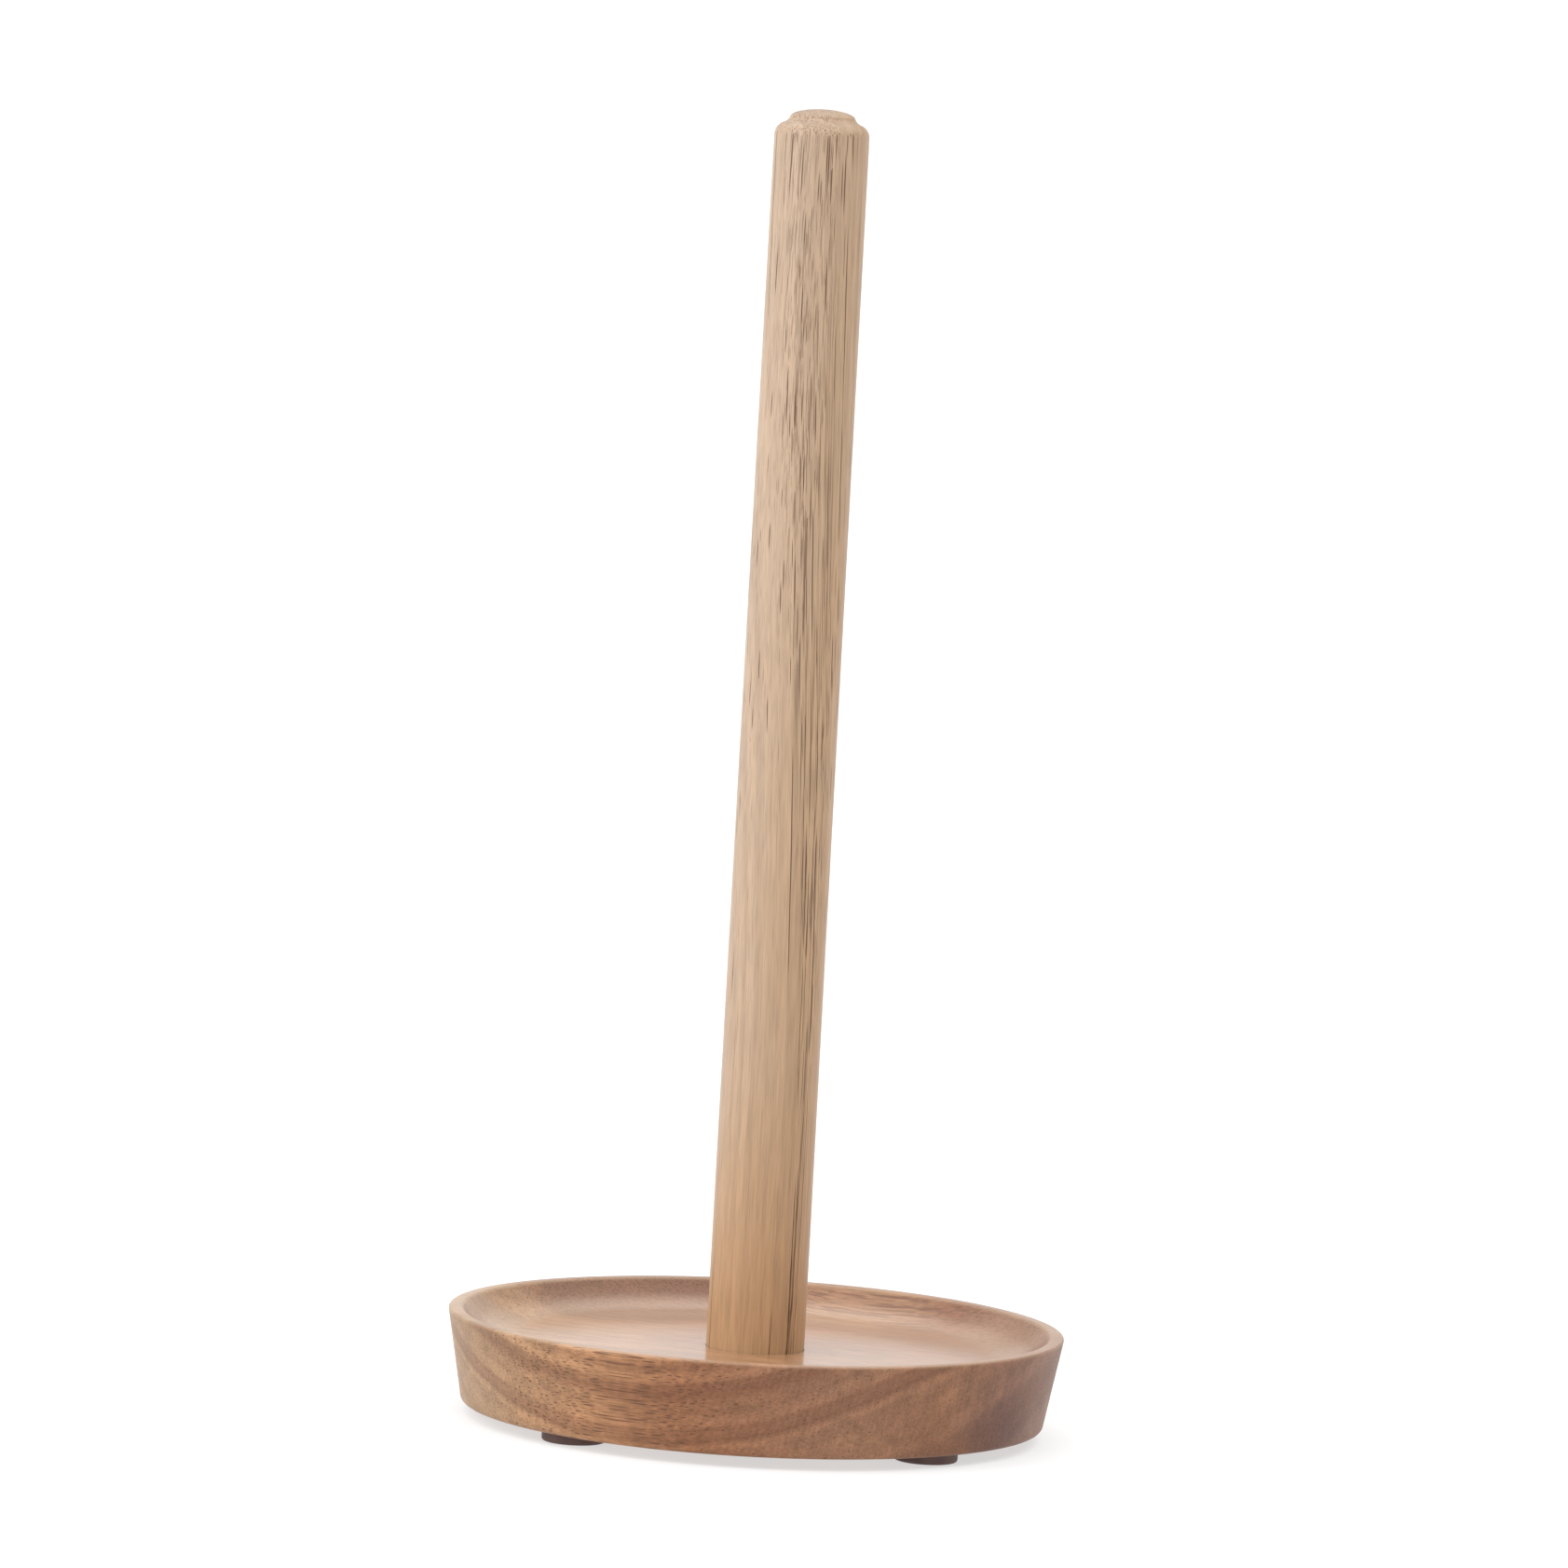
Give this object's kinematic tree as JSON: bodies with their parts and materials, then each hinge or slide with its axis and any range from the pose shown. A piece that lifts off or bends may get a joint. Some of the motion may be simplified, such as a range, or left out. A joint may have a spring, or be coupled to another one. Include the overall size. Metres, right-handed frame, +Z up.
{
  "type": "paper towel holder",
  "caption": "Free-standing wooden paper towel holder: a round dished tray on rubber feet, with an upright turned post that the roll drops over.",
  "frame": {"origin": "on the ground under the middle of the tray", "axes": "+Z up along the post, -Y the front, +X to the right"},
  "size_m": [0.1598, 0.1598, 0.341],
  "materials": {
    "tray_wood": "satin oiled acacia-like hardwood, figured",
    "post_wood": "satin oiled pale hardwood, straight grained",
    "foot_rubber": "matte dark brown",
    "foot_tape": "matte double-sided foam tape",
    "steel": "zinc plated",
    "brass": "machined"
  },
  "bodies": {
    "root": {"tray": "tray_wood", "post": "post_wood", "threaded_insert": "brass", "washer": "steel", "bolt": "steel", "foot_front_left": "foot_rubber", "foot_front_right": "foot_rubber", "foot_back_left": "foot_rubber", "foot_back_right": "foot_rubber", "foot_tape_front_left": "foot_tape", "foot_tape_front_right": "foot_tape", "foot_tape_back_left": "foot_tape", "foot_tape_back_right": "foot_tape"}
  },
  "joints": []
}
